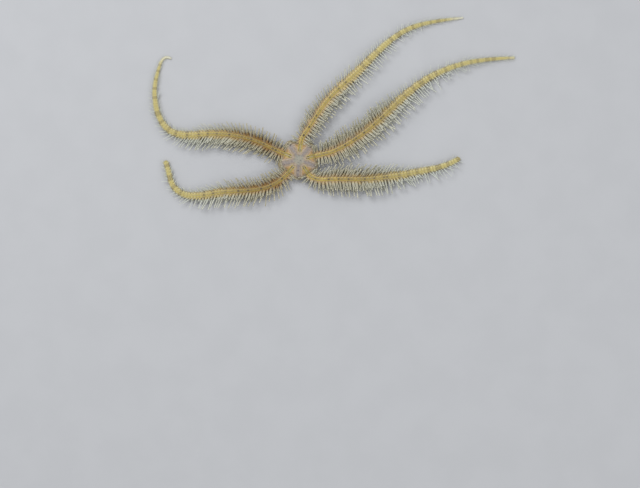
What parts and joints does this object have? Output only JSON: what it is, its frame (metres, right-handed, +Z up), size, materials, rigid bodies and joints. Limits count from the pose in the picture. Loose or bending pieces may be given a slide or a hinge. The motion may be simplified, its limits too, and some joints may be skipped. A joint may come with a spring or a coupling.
{
  "type": "brittle star",
  "caption": "Life-size brittle star lying flat: a small round lobed disc, a mouth frame with jaws below, and five long bent arms edged with blunt glassy spines.",
  "frame": {"origin": "the middle of the whole animal's box, on the surface that it lies on", "axes": "+Z up, the back of the disc upwards; +X along the longest side of the whole spread, towards the ends of the two longest arms"},
  "size_m": [0.1366, 0.0722, 0.0059],
  "materials": {
    "disc_skin": "soft lilac-grey skin with grey bands and tan shield plates, slightly wet",
    "arm_skin": "tan plated skin with fine yellow and dark lines, and pale glassy spines",
    "mouth": "cream and orange-brown jaws, slightly wet"
  },
  "bodies": {
    "root": {"arm_1_length_1": "arm_skin", "arm_1_length_2": "arm_skin", "arm_1_length_3": "arm_skin", "arm_1_length_4": "arm_skin", "arm_1_length_5": "arm_skin", "arm_2_length_1": "arm_skin", "arm_2_length_2": "arm_skin", "arm_2_length_3": "arm_skin", "arm_2_length_4": "arm_skin", "arm_2_length_5": "arm_skin", "arm_3_length_1": "arm_skin", "arm_3_length_2": "arm_skin", "arm_3_length_3": "arm_skin", "arm_3_length_4": "arm_skin", "arm_4_length_1": "arm_skin", "arm_4_length_2": "arm_skin", "arm_4_length_3": "arm_skin", "arm_4_length_4": "arm_skin", "arm_5_length_1": "arm_skin", "arm_5_length_2": "arm_skin", "arm_5_length_3": "arm_skin", "arm_5_length_4": "arm_skin", "arm_5_length_5": "arm_skin", "arm_5_length_6": "arm_skin", "disc": "disc_skin", "mouth_frame": "mouth"}
  },
  "joints": []
}
